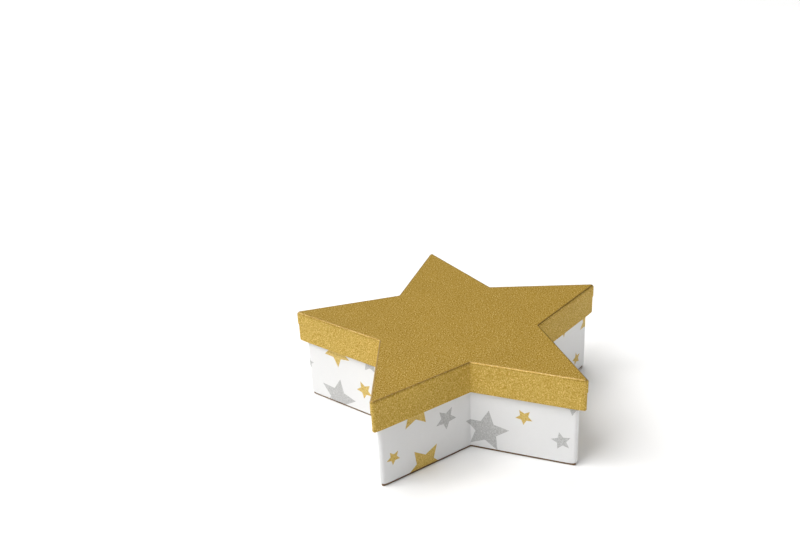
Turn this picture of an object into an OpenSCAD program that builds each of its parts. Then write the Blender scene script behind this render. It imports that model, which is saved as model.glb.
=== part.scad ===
// Rigid star gift box with a lift-off lid.
// Boards carry the shape and papers are glued over them: a gold star sheet and
// a gold wall strip on the lid, a printed wall strip on the base. A plain brown
// card is glued under the base. The origin is the star's centre on the
// underside, +Z is up, and one point of the star lies along +Y.

/* [Star outline] */
// Centre to a sharp point of the lid's outline, before the points are rounded
star_r = 94; // [75:0.5:130]
// Notch radius as a share of star_r
notch_share = 0.497; // [0.46:0.001:0.56]
// Outer bend radius at the lid's points
lid_nose = 1.5; // [1:0.1:3]
// Outer bend radius at the base's points
base_nose = 1.9; // [1:0.1:3]
// Bend radius in the notches
notch_fillet = 0.5; // [0.3:0.1:1.5]

/* [Heights] */
// Height of the closed box
total_h = 54.4; // [40:0.1:80]
// Depth of the lid's wall, top sheet included
lid_depth = 18.4; // [14:0.1:26]

/* [Board and paper] */
// Thickness of the board
board_t = 1; // [0.8:0.1:1.5]
// Thickness of the gold paper
gold_t = 0.2; // [0.15:0.05:0.3]
// Thickness of the printed paper
print_t = 0.2; // [0.15:0.05:0.3]
// Thickness of the card under the base
bottom_t = 1.2; // [0.4:0.1:1.5]

/* [Fit] */
// Gap all round between the lid's turned-in paper and the base
side_gap = 0.3; // [0.3:0.05:0.8]
// Gap between the base's rim and the lid's board when the lid is on
rim_gap = 0.15; // [0.1:0.05:0.5]

/* [Paper edges] */
// How far the top sheet is turned down over the lid's wall
top_flap = 7.5; // [4:0.5:9]
// How far the gold strip's upper edge stays below the top
strip_drop = 1; // [0.4:0.1:1.5]
// Height of the gold strip's turn-in inside the lid
lid_turn_in = 9; // [6:0.5:12]
// Height of the printed strip's turn-in inside the base
base_turn_in = 12; // [8:0.5:16]
// Width of the printed strip's turn-under below the floor
turn_under = 9; // [6:0.5:11]
// How far the bottom card stays inside the base's outline
sheet_inset = 0.8; // [0.4:0.1:3]
// Width of the slits that let a turned edge pass a corner
slit_w = 0.8; // [0.5:0.1:1.5]

/* [Hidden] */

gold = [0.79, 0.64, 0.33];
white = [0.94, 0.94, 0.93];
grey = [0.72, 0.70, 0.67];
brown = [0.52, 0.42, 0.31];

arc_n = 6;                                   // steps in a rounded corner
notch_r = star_r * notch_share;
wall_len = sqrt(star_r * star_r + notch_r * notch_r
                - 2 * star_r * notch_r * cos(36));
wall_d = star_r * notch_r * sin(36) / wall_len;  // centre to each wall's face
tip_half = asin(wall_d / star_r);            // half the angle of a point
notch_half = asin(wall_d / notch_r);         // half the opening of a notch

// depths below the lid's outermost face
d_flap = gold_t;                             // turned-down edge of the top sheet
d_lid = 2 * gold_t;                          // outer face of the lid's wall board
d_lid_in = d_lid + board_t;                  // its inner face
d_base = d_lid_in + gold_t + side_gap;       // outer face of the printed strip
d_wall = d_base + print_t;                   // outer face of the base's wall board
d_wall_in = d_wall + board_t;                // its inner face
d_room = d_wall_in + print_t;                // face of the turn-in, inside

// heights
z_lid = total_h - lid_depth;                 // lid's lower rim
z_flap = total_h - top_flap;                 // lower end of the turned-down edge
z_rim = total_h - gold_t - board_t - rim_gap;  // base's rim
z_floor = bottom_t + print_t;                // underside of the floor board

// Outline of the star at a depth d inside the lid's outermost face, with its
// points rounded to radius nose and its notches to radius fillet.
function star_pts(d, nose, fillet) =
    let (k = 1 - d / wall_d)
    [for (i = [0 : 4])
        let (a = 90 + 72 * i,
             tip_c = k * star_r - nose / sin(tip_half),
             sweep = 90 - tip_half,
             notch_c = k * notch_r + fillet / sin(notch_half),
             bend = 90 - notch_half)
        each concat(
            [for (j = [0 : arc_n])
                let (f = a - sweep + 2 * sweep * j / arc_n)
                [tip_c * cos(a) + nose * cos(f), tip_c * sin(a) + nose * sin(f)]],
            [for (j = [0 : arc_n])
                let (f = a + 36 + bend - 2 * bend * j / arc_n)
                [notch_c * cos(a + 36) - fillet * cos(f),
                 notch_c * sin(a + 36) - fillet * sin(f)]])];

// A bend keeps its centre through the thickness: a point's radius shrinks
// inwards and a notch's radius grows.
module lid_star(d)
    polygon(star_pts(d, max(lid_nose - d, 0.05), notch_fillet + d));
module base_star(d)
    polygon(star_pts(d, max(base_nose - (d - d_base), 0.05),
                     notch_fillet + (d - d_base)));

module lid_plate(d, z0, z1)
    translate([0, 0, z0]) linear_extrude(z1 - z0) lid_star(d);
module base_plate(d, z0, z1)
    translate([0, 0, z0]) linear_extrude(z1 - z0) base_star(d);
module lid_band(d0, d1, z0, z1)
    translate([0, 0, z0]) linear_extrude(z1 - z0)
        difference() { lid_star(d0); lid_star(d1); }
module base_band(d0, d1, z0, z1)
    translate([0, 0, z0]) linear_extrude(z1 - z0)
        difference() { base_star(d0); base_star(d1); }

// Straight cuts on the star's own lines, at the points and at the notches
module corner_cuts(r0, r1, w, z0, z1, first)
    for (i = [0 : 4])
        rotate(90 + first + 72 * i)
            translate([r0, -w / 2, z0]) cube([r1 - r0, w, z1 - z0]);

// The open wedge that a turned-under edge leaves inside each notch
module notch_wedges(d, r, z0, z1)
    for (i = [0 : 4])
        rotate(90 + 36 + 72 * i)
            translate([(1 - d / wall_d) * notch_r, 0, z0])
                linear_extrude(z1 - z0)
                    polygon([[0, 0],
                             [-r * sin(notch_half), r * cos(notch_half)],
                             [-r * sin(notch_half), -r * cos(notch_half)]]);

// Where the ends of a wall strip meet: a fine joint in one notch at the back
module butt_joint(d0, z0, z1)
    rotate(90 - 36)
        translate([notch_r * (1 - d0 / wall_d) - 6, -0.15, z0])
            cube([12, 0.3, z1 - z0]);

module lid_top_board()
    color(grey) lid_plate(d_lid_in, total_h - gold_t - board_t, total_h - gold_t);

module lid_wall_board()
    color(grey) difference() {
        lid_band(d_lid, d_lid_in, z_lid + gold_t, total_h - gold_t);
        butt_joint(d_lid, z_lid, total_h);
    }

module lid_top_sheet()
    color(gold) union() {
        lid_plate(d_flap, total_h - gold_t, total_h);
        lid_band(d_flap, d_lid, z_flap, total_h);
    }

module lid_side_strip()
    color(gold) union() {
        lid_band(0, d_flap, z_flap - gold_t, total_h - strip_drop);
        lid_band(0, d_lid, z_flap - gold_t, z_flap);
        lid_band(d_flap, d_lid, z_lid, z_flap);
        lid_band(d_flap, d_lid_in + gold_t, z_lid, z_lid + gold_t);
        difference() {
            lid_band(d_lid_in, d_lid_in + gold_t, z_lid, z_lid + lid_turn_in);
            corner_cuts(notch_r - 12, notch_r + 2, slit_w,
                        z_lid + gold_t, z_lid + lid_turn_in + 1, 36);
            corner_cuts(star_r - 16, star_r, slit_w,
                        z_lid + gold_t, z_lid + lid_turn_in + 1, 0);
        }
    }

module base_floor_board()
    color(grey) base_plate(d_wall_in, z_floor, z_floor + board_t);

module base_wall_board()
    color(grey) difference() {
        base_band(d_wall, d_wall_in, z_floor, z_rim - print_t);
        butt_joint(d_wall, 0, total_h);
    }

module base_side_strip()
    color(white) union() {
        base_band(d_base, d_wall, bottom_t, z_rim);
        base_band(d_base, d_room, z_rim - print_t, z_rim);
        difference() {
            base_band(d_wall_in, d_room, z_rim - base_turn_in, z_rim);
            corner_cuts(notch_r - 12, notch_r + 2, slit_w,
                        z_rim - base_turn_in - 1, z_rim - print_t, 36);
            corner_cuts(star_r - 20, star_r, slit_w,
                        z_rim - base_turn_in - 1, z_rim - print_t, 0);
        }
        difference() {
            base_band(d_base, d_base + turn_under, bottom_t, z_floor);
            notch_wedges(d_wall, 3 * turn_under, 0, z_floor + 1);
            linear_extrude(z_floor + 1)
                intersection() {
                    base_star(d_wall);
                    for (i = [0 : 4])
                        rotate(90 + 72 * i)
                            translate([star_r - 45, -slit_w / 2])
                                square([45, slit_w]);
                }
        }
    }

module base_bottom_sheet()
    color(brown) base_plate(d_base + sheet_inset, 0, bottom_t);

lid_top_board();
lid_wall_board();
lid_top_sheet();
lid_side_strip();
base_floor_board();
base_wall_board();
base_side_strip();
base_bottom_sheet();
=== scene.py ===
import bisect
import math
import random

import bpy
from mathutils import Matrix, Vector
from mathutils.geometry import delaunay_2d_cdt


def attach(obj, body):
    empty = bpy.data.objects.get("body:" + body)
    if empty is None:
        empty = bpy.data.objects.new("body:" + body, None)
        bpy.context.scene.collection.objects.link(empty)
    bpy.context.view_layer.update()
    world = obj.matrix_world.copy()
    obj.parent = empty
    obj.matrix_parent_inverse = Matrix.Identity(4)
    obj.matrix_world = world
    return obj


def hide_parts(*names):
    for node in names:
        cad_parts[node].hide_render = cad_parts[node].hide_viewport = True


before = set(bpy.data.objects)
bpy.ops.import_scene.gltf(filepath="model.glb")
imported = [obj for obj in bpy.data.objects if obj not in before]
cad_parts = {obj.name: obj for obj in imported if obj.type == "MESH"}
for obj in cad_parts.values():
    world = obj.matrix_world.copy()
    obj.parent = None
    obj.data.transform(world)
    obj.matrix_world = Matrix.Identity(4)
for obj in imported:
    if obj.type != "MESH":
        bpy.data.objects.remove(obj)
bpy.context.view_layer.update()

MM = 0.001

# ---------------------------------------------------------------- measures, mm
STAR_R = 94.0                       # sharp point of the lid's outline
NOTCH_R = STAR_R * 0.497
LID_NOSE, BASE_NOSE, FILLET = 1.5, 1.9, 0.5
TOTAL_H, LID_DEPTH = 54.4, 18.4
BOARD, GOLD_T, PRINT_T, BOTTOM_T = 1.0, 0.2, 0.2, 1.2
SIDE_GAP, RIM_GAP = 0.3, 0.15
TOP_FLAP, STRIP_DROP = 7.5, 1.0
LID_TURN_IN, BASE_TURN_IN, TURN_UNDER = 9.0, 12.0, 9.0

WALL_LEN = math.sqrt(STAR_R ** 2 + NOTCH_R ** 2
                     - 2 * STAR_R * NOTCH_R * math.cos(math.radians(36)))
WALL_D = STAR_R * NOTCH_R * math.sin(math.radians(36)) / WALL_LEN
TIP_HALF = math.asin(WALL_D / STAR_R)
NOTCH_HALF = math.asin(WALL_D / NOTCH_R)

D_FLAP = GOLD_T                     # turned-down edge of the top sheet
D_LID = 2 * GOLD_T                  # lid's wall board, outside
D_LID_IN = D_LID + BOARD
D_BASE = D_LID_IN + GOLD_T + SIDE_GAP
D_WALL = D_BASE + PRINT_T           # base's wall board, outside
D_WALL_IN = D_WALL + BOARD
D_ROOM = D_WALL_IN + PRINT_T
Z_LID = TOTAL_H - LID_DEPTH
Z_FLAP = TOTAL_H - TOP_FLAP
Z_RIM = TOTAL_H - GOLD_T - BOARD - RIM_GAP
Z_FLOOR = BOTTOM_T + PRINT_T        # underside of the floor board


def smooth(a, b, x):
    t = min(1.0, max(0.0, (x - a) / (b - a)))
    return t * t * (3 - 2 * t)


# ---------------------------------------------------------------- star outline
WALL_T = [0.0, 0.005, 0.02, 0.06, 0.12, 0.2, 0.28, 0.36, 0.44, 0.52, 0.6,
          0.68, 0.76, 0.84, 0.9, 0.95, 0.98, 0.995]


class Star:
    """A star outline, walked counterclockwise from one notch. A bend keeps its
    centre through the thickness, so a depth moves every wall by the same amount."""

    def __init__(self, nose, d_ref, start, n_tip=12, n_notch=6):
        self.nose, self.d_ref = nose, d_ref
        self.rows = []
        self.tip_i, self.notch_i, self.rise_i, self.fall_i = {}, {}, {}, {}
        for j in range(5):
            k = (start + 1 + j) % 5
            self.rise_i[k] = len(self.rows)
            self.rows += [("rise", k, t) for t in WALL_T]
            self.tip_i[k] = len(self.rows) + n_tip // 2
            self.rows += [("tip", k, t / n_tip) for t in range(n_tip)]
            self.fall_i[k] = len(self.rows)
            self.rows += [("fall", k, t) for t in WALL_T]
            self.notch_i[k] = len(self.rows) + n_notch // 2
            self.rows += [("notch", k, t / n_notch) for t in range(n_notch)]
        self.rows.append(("notch", start, 1.0))
        self.s = [0.0]
        last = self.pos(self.rows[0], d_ref)
        for r in self.rows[1:]:
            p = self.pos(r, d_ref)
            self.s.append(self.s[-1] + math.dist(p, last))
            last = p
        self.length = self.s[-1]
        self.tips = [self.s[self.tip_i[k]] for k in range(5)]
        self.notches = [self.s[self.notch_i[k]] for k in range(5)]

    def pos(self, row, d, least=0.03):
        kind, k, t = row
        if kind == "rise":
            p, q = self.pos(("notch", (k - 1) % 5, 1.0), d, least), self.pos(("tip", k, 0.0), d, least)
        elif kind == "fall":
            p, q = self.pos(("tip", k, 1.0), d, least), self.pos(("notch", k, 0.0), d, least)
        else:
            a = math.radians(90 + 72 * k)
            scale = 1 - d / WALL_D
            if kind == "tip":
                r = max(self.nose - (d - self.d_ref), least)
                c = scale * STAR_R - r / math.sin(TIP_HALF)
                f = a + (math.pi / 2 - TIP_HALF) * (2 * t - 1)
                return (c * math.cos(a) + r * math.cos(f), c * math.sin(a) + r * math.sin(f))
            a += math.radians(36)
            r = max(FILLET + (d - self.d_ref), least)
            c = scale * NOTCH_R + r / math.sin(NOTCH_HALF)
            f = a + (math.pi / 2 - NOTCH_HALF) * (1 - 2 * t)
            return (c * math.cos(a) - r * math.cos(f), c * math.sin(a) - r * math.sin(f))
        return (p[0] + (q[0] - p[0]) * t, p[1] + (q[1] - p[1]) * t)

    def place(self, s, d):
        s %= self.length
        i = min(max(bisect.bisect_right(self.s, s) - 1, 0), len(self.rows) - 2)
        t = (s - self.s[i]) / (self.s[i + 1] - self.s[i])
        p, q = self.pos(self.rows[i], d), self.pos(self.rows[i + 1], d)
        return (p[0] + (q[0] - p[0]) * t, p[1] + (q[1] - p[1]) * t)

    def _near(self, s, marks):
        s %= self.length
        return min(min(abs(s - m), self.length - abs(s - m)) for m in marks)

    def to_tip(self, s):
        return self._near(s, self.tips)

    def to_notch(self, s):
        return self._near(s, self.notches)

    def at(self, wall, k, u, trim_tip, trim_notch):
        """Developed place of a point u mm along a wall from its sharp left corner."""
        if wall == "fall":
            return self.s[self.fall_i[k]] + u - trim_tip
        return self.s[self.rise_i[k]] + u - trim_notch


# point 0 is the back one (+Y); then counterclockwise from above
LID_STAR = Star(LID_NOSE, 0.0, start=0)
BASE_STAR = Star(BASE_NOSE, D_BASE, start=4)
TRIM_TIP = BASE_NOSE / math.tan(TIP_HALF)
TRIM_NOTCH = FILLET / math.tan(NOTCH_HALF)


# ---------------------------------------------------------------- mesh helpers
def new_object(name, verts, faces, mats, face_mats, uvs=None, sharp=(), smooth_faces=None):
    me = bpy.data.meshes.new(name)
    me.from_pydata([Vector(v) * MM for v in verts], [], faces)
    for m in mats:
        me.materials.append(m)
    me.polygons.foreach_set("material_index", face_mats)
    me.polygons.foreach_set("use_smooth", smooth_faces or [True] * len(faces))
    if uvs:
        layer = me.uv_layers.new(name="OFBake")
        for loop in me.loops:
            layer.data[loop.index].uv = uvs[loop.vertex_index]
    if sharp:
        keys = {tuple(sorted(e)) for e in sharp}
        for e in me.edges:
            if tuple(sorted(e.vertices)) in keys:
                e.use_edge_sharp = True
    me.validate()
    me.update()
    ob = bpy.data.objects.new(name, me)
    bpy.context.scene.collection.objects.link(ob)
    return ob


class Path:
    """A folded section: rows of (v, depth, z, back depth, back z)."""

    def __init__(self, rows):
        self.rows = rows
        self.v = [r[0] for r in rows]

    def at(self, v):
        i = min(max(bisect.bisect_right(self.v, v) - 1, 0), len(self.v) - 2)
        a, b = self.rows[i], self.rows[i + 1]
        t = min(1.0, max(0.0, (v - a[0]) / (b[0] - a[0])))
        return tuple(p + (q - p) * t for p, q in zip(a[1:], b[1:]))


def arc(cd, cz, r, t, a0, a1, n, v0):
    """Rows along a fold: front radius r, back radius r - t, angles in degrees
    with 0 pointing to smaller depth and 90 pointing down."""
    out = []
    for i in range(n + 1):
        a = math.radians(a0 + (a1 - a0) * i / n)
        c, s = math.cos(a), math.sin(a)
        v = v0 + r * abs(math.radians(a1 - a0)) * i / n
        out.append((v, cd - r * c, cz - r * s, cd - (r - t) * c, cz - (r - t) * s))
    return out


def strip_mesh(name, star, path, mats, move, s0, s1, prints=(), side_mat=0, back_mat=0, rows_v=None):
    """A paper strip bent round the star: its face follows path's front, its back
    path's back, and the printed stars are cut into the face."""
    s_lines = []
    turn = star.length
    base = math.floor(s0 / turn) * turn
    for lap in range(3):
        for s in star.s[:-1]:
            x = base + lap * turn + s
            if s0 + 0.05 < x < s1 - 0.05:
                s_lines.append(x)
    s_lines = [s0] + s_lines + [s1]
    v_lines = sorted(set(path.v + list(rows_v or [])))
    ns, nv = len(s_lines), len(v_lines)
    pts = [(s, v) for s in s_lines for v in v_lines]
    if prints:
        edges = []
        for i in range(ns):
            for j in range(nv):
                n = i * nv + j
                if j + 1 < nv:
                    edges.append((n, n + 1))
                if i + 1 < ns:
                    edges.append((n, n + nv))
        coords = [Vector(p) for p in pts]
        for star_print in prints:
            poly = star_print["poly"]
            # keep the outline inside the sheet
            first = len(coords)
            for p in poly:
                coords.append(Vector(p))
            edges += [(first + i, first + (i + 1) % len(poly)) for i in range(len(poly))]
        res = delaunay_2d_cdt(coords, edges, [], 0, 1e-4)
        flat, tris = [(p.x, p.y) for p in res[0]], [tuple(f) for f in res[2]]
        keep = []
        for f in tris:
            cx = sum(flat[i][0] for i in f) / 3
            cy = sum(flat[i][1] for i in f) / 3
            if s0 < cx < s1 and v_lines[0] < cy < v_lines[-1]:
                keep.append((f, cx, cy))
        used = sorted({i for f, _, _ in keep for i in f})
        back_to = {i: n for n, i in enumerate(used)}
        flat = [flat[i] for i in used]
        faces, fm = [], []
        for f, cx, cy in keep:
            f = tuple(back_to[i] for i in f)
            (ax, ay), (bx, by), (qx, qy) = (flat[i] for i in f)
            if (bx - ax) * (qy - ay) - (by - ay) * (qx - ax) < 0:
                f = f[::-1]
            mat = 0
            for sp in prints:
                if abs(cx - sp["s"]) < sp["r"] and abs(cy - sp["v"]) < sp["r"] and inside(sp["poly"], cx, cy):
                    mat = sp["mat"]
                    break
            faces.append(f)
            fm.append(mat)
    else:
        flat, faces, fm = pts, [], []
        for i in range(ns - 1):
            for j in range(nv - 1):
                n = i * nv + j
                faces.append((n, n + nv, n + nv + 1, n + 1))
                fm.append(0)
    verts = []
    for side in (0, 1):
        for s, v in flat:
            d, z, bd, bz = path.at(v)
            if side:
                d, z = bd, bz
            d, z = move(s, v, d, z, side)
            x, y = star.place(s, d)
            verts.append((x, y, z))
    n = len(flat)
    count = {}
    for f in faces:
        for a, b in zip(f, f[1:] + f[:1]):
            count[(a, b)] = count.get((a, b), 0) + 1
    rim = [e for e in count if (e[1], e[0]) not in count]
    all_faces = list(faces) + [tuple(i + n for i in f[::-1]) for f in faces]
    mat_ids = fm + [back_mat] * len(faces)
    sharp = []
    for a, b in rim:
        all_faces.append((b, a, a + n, b + n))
        mat_ids.append(side_mat)
        sharp += [(a, b), (a + n, b + n)]
    return new_object(name, verts, all_faces, mats, mat_ids, None, sharp)


def inside(poly, x, y):
    hit, j = False, len(poly) - 1
    for i in range(len(poly)):
        (xi, yi), (xj, yj) = poly[i], poly[j]
        if (yi > y) != (yj > y) and x < (xj - xi) * (y - yi) / (yj - yi) + xi:
            hit = not hit
        j = i
    return hit


def ring_mesh(name, star, section, mats, sec_mats, move=None, smooth_all=True):
    """A closed band: section is a closed loop of (depth, z), walked so that the
    outside lies on its left when seen with depth to the right and z up."""
    rows = star.rows[:-1]
    ns, nv = len(rows), len(section)
    verts, faces, fm, sharp = [], [], [], []
    for i, r in enumerate(rows):
        for d, z in section:
            if move:
                d, z = move(star.s[i], 0, d, z, 0)
            x, y = star.pos(r, d)
            verts.append((x, y, z))
    for i in range(ns):
        a, b = i * nv, (i + 1) % ns * nv
        for j in range(nv):
            k = (j + 1) % nv
            faces.append((a + j, b + j, b + k, a + k))
            fm.append(sec_mats[j])
            sharp.append((a + j, b + j))
    return new_object(name, verts, faces, mats, fm, None, sharp)


# ---------------------------------------------------------------- materials
def material(name):
    m = bpy.data.materials.new(name)
    m.use_nodes = True
    nt = m.node_tree
    return m, nt, nt.nodes["Principled BSDF"]


def link(nt, a, out, b, inp):
    nt.links.new(a.outputs[out], b.inputs[inp])


def coords(nt):
    return nt.nodes.new("ShaderNodeTexCoord")


def noise(nt, tc, scale, detail=2.0, rough=0.5):
    n = nt.nodes.new("ShaderNodeTexNoise")
    n.inputs["Scale"].default_value = scale
    n.inputs["Detail"].default_value = detail
    n.inputs["Roughness"].default_value = rough
    link(nt, tc, "Object", n, "Vector")
    return n


def ramp(nt, src, out, stops):
    r = nt.nodes.new("ShaderNodeValToRGB")
    cr = r.color_ramp
    while len(cr.elements) < len(stops):
        cr.elements.new(0.5)
    for e, (p, c) in zip(cr.elements, stops):
        e.position = p
        e.color = (*c, 1.0)
    link(nt, src, out, r, "Fac")
    return r


def math_node(nt, op, a=None, b=None, va=0.0, vb=0.0):
    n = nt.nodes.new("ShaderNodeMath")
    n.operation = op
    for i, (src, val) in enumerate(((a, va), (b, vb))):
        if src is None:
            n.inputs[i].default_value = val
        else:
            nt.links.new(src, n.inputs[i])
    return n


def mix_color(nt, fac, a, b, blend="MIX"):
    n = nt.nodes.new("ShaderNodeMix")
    n.data_type = "RGBA"
    n.blend_type = blend
    for sock, val in ((n.inputs[0], fac), (n.inputs[6], a), (n.inputs[7], b)):
        if hasattr(val, "links"):
            nt.links.new(val, sock)
        elif isinstance(val, tuple):
            sock.default_value = (*val, 1.0)
        else:
            sock.default_value = val
    return n.outputs[2]


def bump(nt, bsdf, height, strength, distance):
    b = nt.nodes.new("ShaderNodeBump")
    b.inputs["Strength"].default_value = strength
    b.inputs["Distance"].default_value = distance
    nt.links.new(height, b.inputs["Height"])
    link(nt, b, "Normal", bsdf, "Normal")
    return b


def tone(r, g, b, k=1.0):
    """Linear value of a display colour, times k."""
    return tuple(k * ((c / 255 + 0.055) / 1.055) ** 2.4 for c in (r, g, b))


def gold_paper(name, tones, shine, rough_lo=0.4, rough_hi=0.6, lean_by=0.3, emboss_by=1.5):
    """Shimmer paper: tiny tilted flakes of uneven brightness in a matt gold coat."""
    m, nt, p = material(name)
    tc = coords(nt)
    flake = nt.nodes.new("ShaderNodeTexVoronoi")
    flake.inputs["Scale"].default_value = 2600.0
    link(nt, tc, "Object", flake, "Vector")
    sep = nt.nodes.new("ShaderNodeSeparateColor")
    link(nt, flake, "Color", sep, "Color")
    grain = noise(nt, tc, 4200.0, 2.0, 0.6)
    cloud = noise(nt, tc, 38.0, 3.0, 0.55)
    emboss = noise(nt, tc, 1600.0, 0.0, 0.5)
    fine = math_node(nt, "MULTIPLY_ADD", emboss.outputs["Fac"], None, vb=emboss_by)
    fine.inputs[2].default_value = 0.325 - emboss_by / 2
    mixed = math_node(nt, "MULTIPLY_ADD", sep.outputs["Red"], None, vb=0.35)
    nt.links.new(fine.outputs[0], mixed.inputs[2])
    col = ramp(nt, mixed, "Value", tones)
    soft = ramp(nt, cloud, "Fac", [(0.3, (0.95, 0.95, 0.95)), (0.7, (1.0, 1.0, 1.0))])
    nt.links.new(mix_color(nt, 1.0, col.outputs["Color"], soft.outputs["Color"], "MULTIPLY"),
                 p.inputs["Base Color"])
    rough = nt.nodes.new("ShaderNodeMapRange")
    rough.inputs["To Min"].default_value = rough_lo
    rough.inputs["To Max"].default_value = rough_hi
    link(nt, sep, "Green", rough, "Value")
    link(nt, rough, "Result", p, "Roughness")
    p.inputs["Metallic"].default_value = shine
    p.inputs["Specular IOR Level"].default_value = 0.08
    # each flake leans its own way
    geo = nt.nodes.new("ShaderNodeNewGeometry")
    lean = nt.nodes.new("ShaderNodeVectorMath")
    lean.operation = "SUBTRACT"
    lean.inputs[1].default_value = (0.5, 0.5, 0.5)
    link(nt, flake, "Color", lean, 0)
    tilt = nt.nodes.new("ShaderNodeVectorMath")
    tilt.operation = "MULTIPLY_ADD"
    tilt.inputs[1].default_value = (lean_by, lean_by, lean_by)
    link(nt, lean, "Vector", tilt, 0)
    link(nt, geo, "Normal", tilt, 2)
    unit = nt.nodes.new("ShaderNodeVectorMath")
    unit.operation = "NORMALIZE"
    link(nt, tilt, "Vector", unit, 0)
    b = bump(nt, p, grain.outputs["Fac"], 0.2, 0.00008)
    link(nt, unit, "Vector", b, "Normal")
    return m


def paper(name, light, dark, rough_lo, rough_hi, fibre=420.0, bump_strength=0.12, metallic=0.0):
    """Smooth coated paper: soft mottling, a fine fibre, a little relief."""
    m, nt, p = material(name)
    tc = coords(nt)
    fib = noise(nt, tc, fibre, 4.0, 0.65)
    cloud = noise(nt, tc, 30.0, 2.0, 0.5)
    both = math_node(nt, "MULTIPLY_ADD", fib.outputs["Fac"], None, vb=0.6)
    half = math_node(nt, "MULTIPLY", cloud.outputs["Fac"], None, vb=0.4)
    nt.links.new(half.outputs[0], both.inputs[2])
    col = ramp(nt, both, "Value", [(0.3, dark), (0.7, light)])
    link(nt, col, "Color", p, "Base Color")
    rough = nt.nodes.new("ShaderNodeMapRange")
    rough.inputs["From Min"].default_value = 0.3
    rough.inputs["From Max"].default_value = 0.7
    rough.inputs["To Min"].default_value = rough_lo
    rough.inputs["To Max"].default_value = rough_hi
    link(nt, fib, "Fac", rough, "Value")
    link(nt, rough, "Result", p, "Roughness")
    p.inputs["Metallic"].default_value = metallic
    bump(nt, p, fib.outputs["Fac"], bump_strength, 0.00006)
    return m


def ink(name, light, dark):
    """Metallic printing ink: fine flakes of uneven brightness on smooth paper."""
    m, nt, p = material(name)
    tc = coords(nt)
    flake = nt.nodes.new("ShaderNodeTexVoronoi")
    flake.inputs["Scale"].default_value = 2300.0
    link(nt, tc, "Object", flake, "Vector")
    sep = nt.nodes.new("ShaderNodeSeparateColor")
    link(nt, flake, "Color", sep, "Color")
    fib = noise(nt, tc, 420.0, 4.0, 0.65)
    fine = noise(nt, tc, 1600.0, 0.0, 0.5)
    both = math_node(nt, "MULTIPLY_ADD", sep.outputs["Red"], None, vb=0.3)
    part = math_node(nt, "MULTIPLY_ADD", fine.outputs["Fac"], None, vb=1.0)
    part.inputs[2].default_value = 0.35 - 0.5
    nt.links.new(part.outputs[0], both.inputs[2])
    col = ramp(nt, both, "Value", [(0.0, dark), (1.0, light)])
    link(nt, col, "Color", p, "Base Color")
    rough = nt.nodes.new("ShaderNodeMapRange")
    rough.inputs["To Min"].default_value = 0.34
    rough.inputs["To Max"].default_value = 0.5
    link(nt, sep, "Green", rough, "Value")
    link(nt, rough, "Result", p, "Roughness")
    p.inputs["Metallic"].default_value = 0.1
    p.inputs["Specular IOR Level"].default_value = 0.2
    bump(nt, p, fib.outputs["Fac"], 0.12, 0.00006)
    return m


def board(name, light, dark):
    """Board: long pulp fibres and specks."""
    m, nt, p = material(name)
    tc = coords(nt)
    fib = noise(nt, tc, 260.0, 6.0, 0.7)
    fib.inputs["Distortion"].default_value = 0.8
    speck = nt.nodes.new("ShaderNodeTexVoronoi")
    speck.inputs["Scale"].default_value = 210.0
    link(nt, tc, "Object", speck, "Vector")
    dots = ramp(nt, speck, "Distance", [(0.05, (0.86, 0.85, 0.83)), (0.14, (1.0, 1.0, 1.0))])
    col = ramp(nt, fib, "Fac", [(0.3, dark), (0.7, light)])
    nt.links.new(mix_color(nt, 1.0, col.outputs["Color"], dots.outputs["Color"], "MULTIPLY"),
                 p.inputs["Base Color"])
    rough = nt.nodes.new("ShaderNodeMapRange")
    rough.inputs["To Min"].default_value = 0.7
    rough.inputs["To Max"].default_value = 0.95
    link(nt, fib, "Fac", rough, "Value")
    link(nt, rough, "Result", p, "Roughness")
    bump(nt, p, fib.outputs["Fac"], 0.25, 0.0001)
    return m


# the top sheet's gold is a darker copy of the strip's gold: painted shade for the top, which sends back less light
# at this view
GOLD_TOP_SHADED = gold_paper("gold_shimmer_sheet_painted_shade", [
    (0.0, tone(123, 96, 30)), (0.4, tone(151, 124, 60)),
    (0.75, tone(172, 145, 84)), (1.0, tone(204, 179, 121))], 0.12, emboss_by=1.65)
GOLD_SIDE = gold_paper("gold_shimmer_strip", [
    (0.0, tone(167, 137, 60)), (0.4, tone(191, 161, 87)),
    (0.75, tone(208, 179, 107)), (1.0, tone(235, 206, 138))], 0.1, emboss_by=1.3)
# the pressed edge's gold is darkened to 0.55: painted shade along the top fold; its smoother, more metallic finish
# is real
GOLD_EDGE_AND_SHADE = gold_paper("gold_pressed_edge_painted_shade", [
    (0.0, tone(186, 150, 84, 0.55)), (0.4, tone(202, 168, 103, 0.55)),
    (0.75, tone(214, 182, 120, 0.55)), (1.0, tone(236, 210, 158, 0.55))], 0.7, 0.3, 0.4, 0.15)
# a darker copy (0.85) of the strip's gold for the lower part of the top fold: painted shade that evens the fold's
# light with the wall
GOLD_BEND_SHADE = gold_paper("gold_bend_painted_shade", [
    (0.0, tone(167, 137, 60, 0.85)), (0.4, tone(191, 161, 87, 0.85)),
    (0.75, tone(208, 179, 107, 0.85)), (1.0, tone(235, 206, 138, 0.85))], 0.25)
GOLD_CUT = paper("gold_paper_cut_edge", (0.5, 0.34, 0.1), (0.36, 0.235, 0.06), 0.6, 0.8, 900.0)
WHITE = paper("white_paper", (0.765, 0.765, 0.765), (0.745, 0.745, 0.743), 0.38, 0.52)
INK_GOLD = ink("gold_print", (0.77, 0.59, 0.24), (0.44, 0.293, 0.062))
INK_SILVER = ink("silver_print", (0.63, 0.63, 0.626), (0.36, 0.36, 0.356))
CORE = paper("paper_core", (0.78, 0.76, 0.70), (0.68, 0.66, 0.60), 0.8, 0.95, 600.0, 0.3)
LINED = board("board_white_face", (0.70, 0.695, 0.675), (0.63, 0.625, 0.60))
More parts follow.
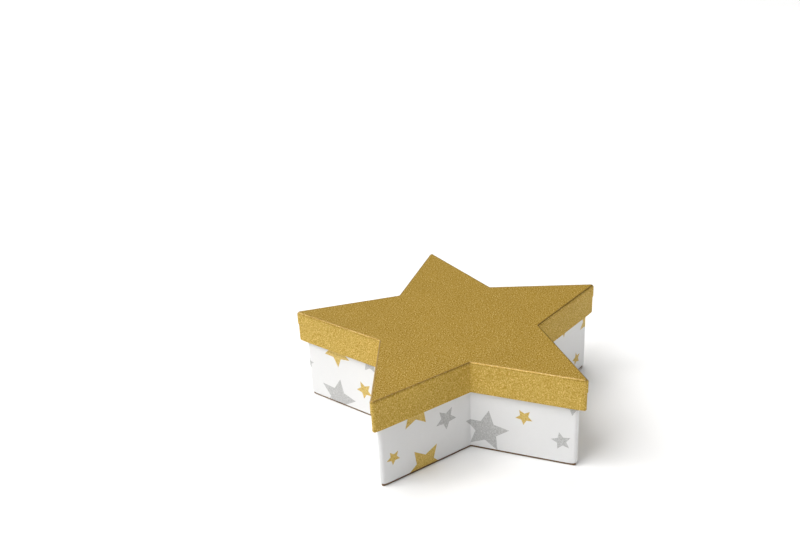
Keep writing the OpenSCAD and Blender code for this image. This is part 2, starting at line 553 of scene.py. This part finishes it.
GREY = board("board_grey_edge", (0.34, 0.33, 0.305), (0.24, 0.23, 0.21))
# the bottom card's dark brown also darkens the thin line along the base's foot: partly painted shade there
BROWN = board("brown_card", (0.25, 0.17, 0.105), (0.17, 0.11, 0.064))


# ---------------------------------------------------------------- print layout
def star_poly(s, v, r, ang, share=0.47):
    out = []
    for i in range(10):
        rr = r if i % 2 == 0 else r * share
        a = math.radians(ang + 36 * i)
        out.append((s + rr * math.cos(a), v + rr * math.sin(a)))
    return out


PRINTS = []


def add_print(s, v, r, ang, mat):
    PRINTS.append({"s": s, "v": v, "r": r, "mat": mat, "poly": star_poly(s, v, r, ang)})


def on_wall(wall, k, u):
    return BASE_STAR.at(wall, k, u, TRIM_TIP, TRIM_NOTCH)


G, S = 1, 2
# the walls that face the viewer, each from its sharp left corner
add_print(on_wall("fall", 1, 24.8), 35.2, 9.8, 57, G)
add_print(on_wall("fall", 1, 23.8), 4.6, 13.2, 8, S)
add_print(on_wall("fall", 1, 44.2), 16.5, 5.9, 47, G)
add_print(on_wall("fall", 1, 2.6), 21.8, 3.6, 10, S)
add_print(on_wall("fall", 1, 49.2), 35.8, 6.6, 20, S)
add_print(on_wall("fall", 2, 9.6), 15.5, 4.4, 46, G)
add_print(on_wall("fall", 2, 24.7), 37.8, 11.0, 14, G)
add_print(on_wall("fall", 2, 43.5), 25.2, 6.9, 55, S)
add_print(on_wall("fall", 2, 29.1), 2.8, 12.4, 50, G)
add_print(on_wall("rise", 3, 8.6), 12.6, 13.0, 11, S)
add_print(on_wall("rise", 3, 29.3), 25.2, 4.9, 51, G)
add_print(on_wall("rise", 3, 49.3), 14.4, 5.5, 32, S)
add_print(on_wall("rise", 3, 54.9), 36.6, 5.6, 50, S)
add_print(on_wall("rise", 4, 46.8), 10.3, 4.5, 28, G)
add_print(on_wall("rise", 4, 31.4), 37.2, 5.2, 54, G)
add_print(on_wall("rise", 4, 57.0), 31.8, 7.8, 62, G)

# the rest of the sheet carries on in the same scattered way
SEAM_OVERLAP = 9.0
S0, S1 = 0.0, BASE_STAR.length + SEAM_OVERLAP
FOLD_B, FOLD_R = 0.6, 0.42
path_rows = []
under = arc(D_BASE + FOLD_B, BOTTOM_T + FOLD_B, FOLD_B, PRINT_T, 90, 0, 6, 0.0)
v_wall = BOTTOM_T + FOLD_B
shift = v_wall - under[-1][0]
under = [(v + shift, d, z, bd, bz) for v, d, z, bd, bz in under]
V_LOW = under[0][0] - (TURN_UNDER - FOLD_B)
path_rows.append((V_LOW, D_BASE + TURN_UNDER, BOTTOM_T, D_BASE + TURN_UNDER, Z_FLOOR))
path_rows.append((under[0][0] - 0.4, D_BASE + FOLD_B + 0.4, BOTTOM_T, D_BASE + FOLD_B + 0.4, Z_FLOOR))
path_rows += under
path_rows.append((v_wall + 0.3, D_BASE, v_wall + 0.3, D_WALL, v_wall + 0.3))
v_top = Z_RIM - FOLD_R
path_rows.append((v_top - 0.3, D_BASE, v_top - 0.3, D_WALL, v_top - 0.3))
over = arc(D_BASE + FOLD_R, v_top, FOLD_R, PRINT_T, 0, -90, 5, v_top)
path_rows += over
rim_flat = D_ROOM - D_BASE - 2 * FOLD_R
back = arc(D_ROOM - FOLD_R, v_top, FOLD_R, PRINT_T, 270, 180, 5, over[-1][0] + rim_flat)
path_rows += back
v_in = back[-1][0]
path_rows.append((v_in + 0.3, D_ROOM, v_top - 0.3, D_WALL_IN, v_top - 0.3))
V_HIGH = v_in + BASE_TURN_IN - FOLD_R
path_rows.append((V_HIGH, D_ROOM, Z_RIM - BASE_TURN_IN, D_WALL_IN, Z_RIM - BASE_TURN_IN))
BASE_PATH = Path(path_rows)

rng = random.Random(20)
sizes = [(12.6, S), (12.2, G), (9.8, G), (9.4, S), (6.6, S), (6.4, G), (5.2, G), (5.4, S), (4.6, G), (4.6, S)]
for r, mat in [x for x in sizes for _ in range(12)]:
    for _ in range(60):
        s, v = rng.uniform(S0, S1), rng.uniform(V_LOW, V_HIGH)
        clear = all(math.hypot(s - q["s"], v - q["v"]) > 0.82 * (r + q["r"]) + 1.5 for q in PRINTS)
        # the walls that face the viewer keep only what is placed above, up to the lid
        seen = False
        for wall, k in (("fall", 1), ("fall", 2), ("rise", 3), ("rise", 4)):
            # one arm hides the near part of the last of them
            u0 = {("rise", 3): -3.0, ("rise", 4): 22.0}.get((wall, k), 1.0)
            u1 = 63.0 if (wall, k) == ("rise", 3) else 58.5
            if on_wall(wall, k, u0) - r < s < on_wall(wall, k, u1) + r and v + r > -1.0 and v - r < 34.8:
                seen = True
        if clear and not seen:
            add_print(s, v, r, rng.uniform(0, 72), mat)
            break


# ---------------------------------------------------------------- the base's printed strip
def lifted(path, v, d, z, by):
    """A place on a strip, raised off the layer below it."""
    fd, fz, bd, bz = path.at(v)
    n = math.hypot(fd - bd, fz - bz)
    return d + by * (fd - bd) / n, z + by * (fz - bz) / n


def base_move(s, v, d, z, side):
    # the loose end lies over the start of the strip
    lap = smooth(BASE_STAR.length - 0.7, BASE_STAR.length - 0.05, s)
    if lap:
        lift = 0.21 if v_wall < v < v_top else 0.12 if v >= v_top else 0.02 + 0.1 * smooth(V_LOW + 6.0, v_wall, v)
        d, z = lifted(BASE_PATH, v, d, z, lift * lap)
    near = math.exp(-(BASE_STAR.to_tip(s) / 2.6) ** 2)
    # points are crushed round at the bottom corner
    low = z - BOTTOM_T
    crush = 1.7
    if d < D_WALL_IN and low < crush and v < v_top:
        d += near * (crush - math.sqrt(max(0.0, crush ** 2 - (crush - low) ** 2))) * 0.9
    # inside, the turned edge is cut at each bend
    if v > v_in + 0.2:
        cut = min(BASE_STAR.to_tip(s) / 2.2, BASE_STAR.to_notch(s) / 0.9, 1.0)
        z = (v_top - 0.3) + (z - (v_top - 0.3)) * max(0.06, cut)
    return d, z


rows_v = [2.0, 5.0, 9.0, 14.0, 19.0, 24.0, 29.0, 34.0, 39.0, 44.0, 48.0, 50.0, V_HIGH - 6.0]
base_strip = strip_mesh("base_printed_strip", BASE_STAR, BASE_PATH,
                        [WHITE, INK_GOLD, INK_SILVER, CORE], base_move, S0, S1, PRINTS,
                        side_mat=3, back_mat=3, rows_v=rows_v)
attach(base_strip, "base")
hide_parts("base_side_strip")


def base_board_move(s, v, d, z, side):
    near = math.exp(-(BASE_STAR.to_tip(s) / 2.6) ** 2)
    low, crush = z - BOTTOM_T, 1.7
    if low < crush:
        d += near * (crush - math.sqrt(max(0.0, crush ** 2 - (crush - low) ** 2))) * 0.9
    return d, z


section = []
for i in range(5):                  # the board's lower corner is pressed round inside the fold
    a, r = math.radians(90 - 22.5 * i), FOLD_B - PRINT_T - 0.02
    section.append((D_BASE + FOLD_B - r * math.cos(a), BOTTOM_T + FOLD_B - r * math.sin(a)))
section += [(D_WALL + 0.02, 2.4), (D_WALL + 0.02, Z_RIM - PRINT_T - 0.02), (D_WALL_IN, Z_RIM - PRINT_T - 0.02)]
section += [(D_WALL_IN, Z_FLOOR)]
base_board = ring_mesh("base_wall", BASE_STAR, section, [LINED, GREY], [1] * 7 + [0, 1], base_board_move)
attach(base_board, "base")
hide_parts("base_wall_board")

# ---------------------------------------------------------------- the lid's gold strip
FOLD_L, FOLD_T = 0.45, 0.9          # outer radius of the rim and of the top edge
rows = []
inner = arc(D_LID_IN + GOLD_T - FOLD_L, Z_LID + FOLD_L, FOLD_L, GOLD_T, 180, 90, 5, 0.0)
flat_len = (D_LID_IN + GOLD_T) - D_FLAP - 2 * FOLD_L
outer = arc(D_FLAP + FOLD_L, Z_LID + FOLD_L, FOLD_L, GOLD_T, 90, 0, 6, inner[-1][0] + flat_len)
v_lid0 = outer[-1][0]
zt = TOTAL_H - STRIP_DROP
rows.append((-(LID_TURN_IN - FOLD_L), D_LID_IN + GOLD_T, Z_LID + LID_TURN_IN, D_LID_IN, Z_LID + LID_TURN_IN))
rows.append((-0.3, D_LID_IN + GOLD_T, Z_LID + FOLD_L + 0.3, D_LID_IN, Z_LID + FOLD_L + 0.3))
rows += inner + outer
z_up = Z_LID + FOLD_L
for z in (z_up + 0.3, z_up + 2.0, z_up + 5.0, Z_FLAP - 3.0, Z_FLAP - 1.6, Z_FLAP - 0.8, Z_FLAP - 0.4, Z_FLAP - 0.15,
          Z_FLAP + 0.1, Z_FLAP + 0.35, Z_FLAP + 0.8, Z_FLAP + 1.6, Z_FLAP + 3.0, zt - 1.0, zt - 0.3, zt):
    rows.append((v_lid0 + z - z_up, D_FLAP, z, D_LID, z))
LID_PATH = Path(rows)


def lid_move(s, v, d, z, side):
    # the loose end lies over the start of the strip
    lap = smooth(LID_STAR.length - 0.7, LID_STAR.length - 0.05, s)
    if lap:
        d, z = lifted(LID_PATH, v, d, z, 0.21 * lap)
    near = math.exp(-(LID_STAR.to_tip(s) / 3.2) ** 2)
    if v > v_lid0:
        # the strip rides over the top sheet's turned-down edge
        wide = smooth(Z_FLAP - 2.6, Z_FLAP + 1.6, z)
        crisp = smooth(Z_FLAP - 0.35, Z_FLAP + 0.1, z)
        d -= D_FLAP * (wide * (1 - near) + crisp * near) + 0.22 * crisp * near
        # its upper end follows the top edge's roundness
        over = z - (TOTAL_H - FOLD_T)
        if over > 0:
            d += FOLD_T - math.sqrt(FOLD_T ** 2 - over ** 2)
    low, crush = z - Z_LID, 0.9
    if low < crush and d < D_LID_IN - 0.2 and v > inner[-1][0]:
        d += near * (crush - math.sqrt(max(0.0, crush ** 2 - (crush - low) ** 2))) * 0.9
    if v < -0.2:
        cut = min(LID_STAR.to_tip(s) / 2.4, LID_STAR.to_notch(s) / 0.9, 1.0)
        z0 = Z_LID + FOLD_L + 0.3
        z = z0 + (z - z0) * max(0.06, cut)
    return d, z


lid_strip = strip_mesh("lid_gold_strip", LID_STAR, LID_PATH, [GOLD_SIDE, CORE, GOLD_CUT], lid_move,
                       0.0, LID_STAR.length + 8.0, side_mat=2, back_mat=1)
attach(lid_strip, "lid")
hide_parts("lid_side_strip")


def lid_board_move(s, v, d, z, side):
    near = math.exp(-(LID_STAR.to_tip(s) / 3.2) ** 2)
    low, crush = z - Z_LID, 0.9
    if low < crush:
        d += near * (crush - math.sqrt(max(0.0, crush ** 2 - (crush - low) ** 2))) * 0.9
    return d, z


section = [(D_LID + 0.02, Z_LID + z) for z in (GOLD_T + 0.02, 0.6, 1.1, 1.7)]
for i in range(5):                  # the board's upper corner is pressed round inside the fold
    r = FOLD_T - GOLD_T - 0.02
    a = math.acos(max(0.02, D_FLAP + FOLD_T - D_LID_IN) / r) * i / 4
    section.append((D_FLAP + FOLD_T - r * math.cos(a), TOTAL_H - FOLD_T + r * math.sin(a)))
section += [(D_LID_IN, TOTAL_H - GOLD_T - 0.02), (D_LID_IN, Z_LID + GOLD_T + 0.02)]
lid_board = ring_mesh("lid_wall", LID_STAR, section, [LINED, GREY], [1] * 9 + [0, 1], lid_board_move)
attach(lid_board, "lid")
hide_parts("lid_wall_board")


# ---------------------------------------------------------------- the lid's top sheet
def top_sheet():
    z1 = TOTAL_H
    prof = []                      # (depth, z) from the middle out, then down the edge
    for d in (38.0, 32.0, 25.0, 18.0, 11.0, 6.0, 3.0, 2.0):
        prof.append((d, z1))
    fold_from = len(prof)
    for i in range(9):
        a = math.radians(90 * i / 8)
        prof.append((D_FLAP + FOLD_T * (1 - math.sin(a)), z1 - FOLD_T * (1 - math.cos(a))))
    prof += [(D_FLAP, z1 - FOLD_T - 0.4), (D_FLAP, Z_FLAP)]
    inner_prof = [(D_LID, Z_FLAP)]
    for i in range(5):
        a, r = math.radians(22.5 * i), FOLD_T - GOLD_T
        inner_prof.append((D_FLAP + FOLD_T - r * math.cos(a), z1 - FOLD_T + r * math.sin(a)))
    inner_prof += [(3.0, z1 - GOLD_T), (18.0, z1 - GOLD_T), (38.0, z1 - GOLD_T)]
    loop = prof + inner_prof
    rows = LID_STAR.rows[:-1]
    ns, nv = len(rows), len(loop)
    verts, faces, fm, sharp = [], [], [], []
    for r in rows:
        for d, z in loop:
            # the field inside 3 mm shrinks evenly to the middle
            x, y = LID_STAR.pos(r, min(d, 3.0), 0.4)
            k = (WALL_D - max(d, 3.0)) / (WALL_D - 3.0)
            verts.append((x * k, y * k, z))
    for i in range(ns):
        a, b = i * nv, (i + 1) % ns * nv
        for j in range(nv - 1):
            faces.append((a + j, a + j + 1, b + j + 1, b + j))
            # the pressed edge is smoother and more metallic than the rest of the sheet; its upper part also has a
            # gold darkened as painted shade along the fold, and its lower part a darker copy of the strip's gold,
            # also painted shade
            step = j - fold_from
            fm.append(2 if 0 <= step < 5 else 3 if 5 <= step < 9 else 0 if j < len(prof) - 1 else 1)
            if j in (len(prof) - 1, len(prof) - 2):
                sharp.append((a + j, b + j))
                sharp.append((a + j + 1, b + j + 1))
    top, low = len(verts), len(verts) + 1
    verts += [(0, 0, z1), (0, 0, z1 - GOLD_T)]
    for i in range(ns):
        a, b = i * nv, (i + 1) % ns * nv
        faces.append((top, a, b))
        fm.append(0)
        faces.append((low, b + nv - 1, a + nv - 1))
        fm.append(1)
    return new_object("lid_gold_sheet", verts, faces, [GOLD_TOP_SHADED, CORE, GOLD_EDGE_AND_SHADE, GOLD_BEND_SHADE], fm, None, sharp)


sheet = top_sheet()
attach(sheet, "lid")
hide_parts("lid_top_sheet")

# ---------------------------------------------------------------- boards and bottom card keep their CAD shape
for node, mat in (("lid_top_board", LINED), ("base_floor_board", LINED), ("base_bottom_sheet", BROWN)):
    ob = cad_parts[node]
    if ob.material_slots:
        for slot in ob.material_slots:
            slot.material = mat
    else:
        ob.data.materials.append(mat)

# ---------------------------------------------------------------- floor, light, camera
def floor():
    n, half = 24, 3.2
    verts, faces = [], []
    for i in range(n + 1):
        for j in range(n + 1):
            verts.append((-half + 2 * half * i / n, -half + 2 * half * j / n, 0.0))
    for i in range(n):
        for j in range(n):
            a = i * (n + 1) + j
            faces.append((a, a + n + 1, a + n + 2, a + 1))
    me = bpy.data.meshes.new("floor")
    me.from_pydata(verts, [], faces)
    ob = bpy.data.objects.new("floor", me)
    bpy.context.scene.collection.objects.link(ob)
    m, nt, p = material("floor_pale")
    tc = coords(nt)
    soft = noise(nt, tc, 6.0, 2.0, 0.5)
    col = ramp(nt, soft, "Fac", [(0.3, (0.84, 0.84, 0.838)), (0.7, (0.86, 0.86, 0.86))])
    link(nt, col, "Color", p, "Base Color")
    p.inputs["Roughness"].default_value = 0.7
    p.inputs["Specular IOR Level"].default_value = 0.2
    me.materials.append(m)


floor()

world = bpy.data.worlds.new("studio") if bpy.context.scene.world is None else bpy.context.scene.world
bpy.context.scene.world = world
world.use_nodes = True
bg = world.node_tree.nodes["Background"]
bg.inputs["Color"].default_value = (1.0, 0.995, 0.985, 1.0)
bg.inputs["Strength"].default_value = 0.01
# beyond the floor's far edge: a pale backdrop that gives no light
wt = world.node_tree
backdrop = wt.nodes.new("ShaderNodeBackground")
backdrop.inputs["Color"].default_value = (1.0, 1.0, 1.0, 1.0)
backdrop.inputs["Strength"].default_value = 0.94
rays = wt.nodes.new("ShaderNodeLightPath")
pick = wt.nodes.new("ShaderNodeMixShader")
wt.links.new(rays.outputs["Is Camera Ray"], pick.inputs[0])
wt.links.new(bg.outputs[0], pick.inputs[1])
wt.links.new(backdrop.outputs[0], pick.inputs[2])
wt.links.new(pick.outputs[0], wt.nodes["World Output"].inputs["Surface"])


def area(name, az, el, dist, size, level, color=(1, 1, 1)):
    """A soft panel. level is the brightness that it alone gives to a white
    surface that faces it from the origin."""
    a, e = math.radians(az), math.radians(el)
    d = Vector((math.cos(a) * math.cos(e), math.sin(a) * math.cos(e), math.sin(e)))
    lamp = bpy.data.lights.new(name, "AREA")
    lamp.shape = "SQUARE"
    lamp.size = size
    lamp.energy = level * math.pi ** 2 * dist ** 2
    lamp.color = color
    ob = bpy.data.objects.new(name, lamp)
    ob.location = d * dist
    ob.rotation_euler = d.to_track_quat("Z", "Y").to_euler()
    bpy.context.scene.collection.objects.link(ob)
    return ob


WARM = (1.0, 0.995, 0.985)
area("key", 200, 56, 6.0, 4.4, 1.095)
area("back_left", 135, 30, 6.0, 3.6, 0.29, WARM)
area("back_top", 90, 60, 6.0, 3.6, 0.33, WARM)
area("right", 2, 9, 6.0, 1.8, 0.18, WARM)
area("back_low", 106, 11, 6.0, 2.0, 0.06, WARM)
area("edge_left", 172, 44, 6.0, 1.6, 0.1, WARM)
area("front_right", 320, 42, 6.0, 2.4, 0.165, WARM)
area("front_left", 225, 12, 6.0, 2.4, 0.075, WARM)

# camera: the photograph's own viewing angle
U = STAR_R * MM
az, el, roll = math.radians(-5.557), math.radians(25.173), math.radians(-2.742)
eye = Vector((math.sin(az) * math.cos(el), -math.cos(az) * math.cos(el), math.sin(el)))
right = Vector((math.cos(az), math.sin(az), 0.0))
up = eye.cross(right)
right, up = right * math.cos(roll) + up * math.sin(roll), up * math.cos(roll) - right * math.sin(roll)
spot = Vector((-0.1181, 2.0256, 0.0085)) * U + eye * (7.995 * U)
cam_data = bpy.data.cameras.new("camera")
cam_data.sensor_fit = "HORIZONTAL"
cam_data.sensor_width = 36.0
cam_data.lens = 997.0 / 800.0 * 36.0
cam_data.clip_start = 0.01
cam = bpy.data.objects.new("camera", cam_data)
m = Matrix((right, up, eye)).transposed().to_4x4()
m.translation = spot
cam.matrix_world = m
bpy.context.scene.collection.objects.link(cam)
bpy.context.scene.camera = cam

view = bpy.context.scene.view_settings
view.view_transform = "Standard"
# the photograph's own tone: a soft toe that deepens the darker tones a little
view.use_curve_mapping = True
toe = view.curve_mapping.curves[3]
for x in (0.02, 0.05, 0.1, 0.15, 0.2, 0.3, 0.4, 0.6):
    toe.points.new(x, x - 0.05 * (1 - x) ** 2 * x / (x + 0.05))
view.curve_mapping.update()
